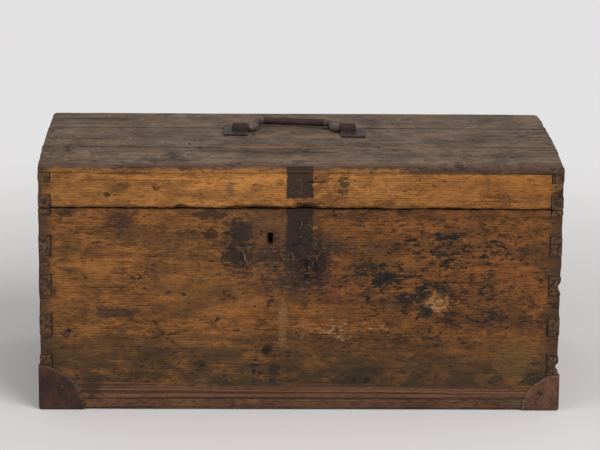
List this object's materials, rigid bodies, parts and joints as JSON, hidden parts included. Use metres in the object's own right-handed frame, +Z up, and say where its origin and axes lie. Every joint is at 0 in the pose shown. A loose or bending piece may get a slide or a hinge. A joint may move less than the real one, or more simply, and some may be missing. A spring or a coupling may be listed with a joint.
{
  "type": "lidded wooden collection chest",
  "caption": "Old dovetailed pine chest with a hinged cambered lid, keyed lock, swinging iron bail handle and iron corner caps, for keeping offerings.",
  "frame": {"origin": "on the ground, below the middle of the chest", "axes": "+X to the right seen from the front, +Y from the front to the back, +Z up"},
  "size_m": [0.6058, 0.3058, 0.3049],
  "materials": {
    "pine_front": "worn golden brown pine with dark stains round the keyhole",
    "pine_carcase": "worn brown pine",
    "pine_bottom": "dark rubbed pine",
    "pine_lid_side": "golden orange pine with fine grain",
    "pine_lid_top": "weathered grey brown pine",
    "iron_cap": "dark rusted sheet iron",
    "iron_handle": "dark rusted forged iron",
    "iron_nail": "dark rusted iron",
    "iron_lock": "dull forged iron",
    "iron_hinge": "dull forged iron"
  },
  "bodies": {
    "chest_body": {"front_board": "pine_front", "back_board": "pine_carcase", "left_end_board": "pine_carcase", "right_end_board": "pine_carcase", "bottom_board_front": "pine_bottom", "bottom_board_back": "pine_bottom", "corner_cap_front_left": "iron_cap", "corner_cap_front_right": "iron_cap", "corner_cap_back_left": "iron_cap", "corner_cap_back_right": "iron_cap", "bottom_board_nails": "iron_nail", "corner_cap_nails": "iron_nail", "lock_nails": "iron_nail", "body_hasp_nail_stubs": "iron_nail", "lock_plate": "iron_lock", "lock_case": "iron_lock", "lock_spring": "iron_lock", "hinge_body_leaf_left": "iron_hinge", "hinge_body_leaf_right": "iron_hinge", "hinge_pin_left": "iron_hinge", "hinge_pin_right": "iron_hinge", "hinge_body_screws": "iron_hinge"},
    "lid": {"lid_front_rail": "pine_lid_side", "lid_back_rail": "pine_lid_side", "lid_left_end": "pine_lid_side", "lid_right_end": "pine_lid_side", "lid_plank_front": "pine_lid_top", "lid_plank_middle": "pine_lid_top", "lid_plank_back": "pine_lid_top", "lid_plank_nails": "iron_nail", "lid_hasp_nail_stubs": "iron_nail", "lock_staple": "iron_lock", "lock_staple_nails": "iron_nail", "hinge_lid_leaf_left": "iron_hinge", "hinge_lid_leaf_right": "iron_hinge", "hinge_lid_screws": "iron_hinge", "handle_strap_left": "iron_handle", "handle_strap_right": "iron_handle", "handle_strap_nails": "iron_nail"},
    "handle": {"handle_bail": "iron_handle"},
    "bolt": {"lock_bolt": "iron_lock"}
  },
  "joints": [
    {"name": "lid_hinge", "type": "hinge", "parent": "chest_body", "child": "lid", "pos_m": [0, 0.147, 0.2401], "axis": [-1, 0, 0], "range_deg": [0, 104]},
    {"name": "handle_swing", "type": "hinge", "parent": "lid", "child": "handle", "pos_m": [-0.0055, 0.017, 0.2991], "axis": [1, 0, 0], "range_deg": [0, 180]},
    {"name": "lock_bolt_slide", "type": "slide", "parent": "chest_body", "child": "bolt", "axis": [1, 0, 0], "range_m": [0, 0.01]}
  ]
}
